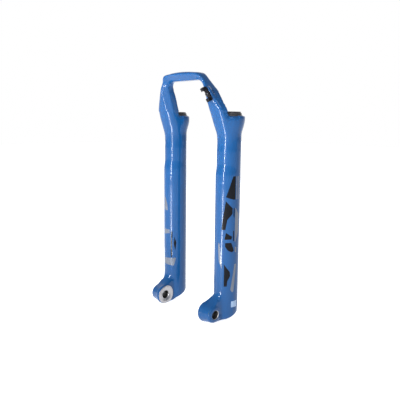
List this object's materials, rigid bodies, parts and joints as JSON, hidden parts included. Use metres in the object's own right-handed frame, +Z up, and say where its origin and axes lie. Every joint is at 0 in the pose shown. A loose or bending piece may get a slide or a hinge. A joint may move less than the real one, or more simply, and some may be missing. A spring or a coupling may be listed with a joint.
{
  "type": "suspension fork lower leg assembly",
  "caption": "Lower legs of a trail suspension fork: cast twin legs with a forward arch, axle dropouts, wiper seals, bushings and a hose guide.",
  "frame": {"origin": "on the axle axis, midway between the dropouts", "axes": "+X along the axle to the bike's left, the disc side; +Y to the rear; +Z up along the legs"},
  "size_m": [0.194, 0.0848, 0.4366],
  "materials": {
    "blue_paint": "gloss",
    "black_plastic": "satin",
    "steel": "satin",
    "bushing_liner": "satin",
    "foam": "matte",
    "black_rubber": "satin",
    "black_foil": "gloss",
    "silver_foil": "gloss",
    "white_foil": "gloss"
  },
  "bodies": {
    "root": {"brake_hose_guide": "black_plastic", "foam_ring_left": "foam", "foam_ring_right": "foam", "garter_spring_left": "steel", "garter_spring_right": "steel", "hose_guide_screw": "steel", "left_leg_decal_black": "black_foil", "left_leg_decal_silver": "silver_foil", "left_leg_label": "white_foil", "lower_bushing_left": "bushing_liner", "lower_bushing_right": "bushing_liner", "lower_leg_casting": "blue_paint", "right_leg_decal_black": "black_foil", "right_leg_decal_silver": "silver_foil", "upper_bushing_left": "bushing_liner", "upper_bushing_right": "bushing_liner", "wiper_core_left": "steel", "wiper_core_right": "steel", "wiper_seal_left": "black_rubber", "wiper_seal_right": "black_rubber"}
  },
  "joints": []
}
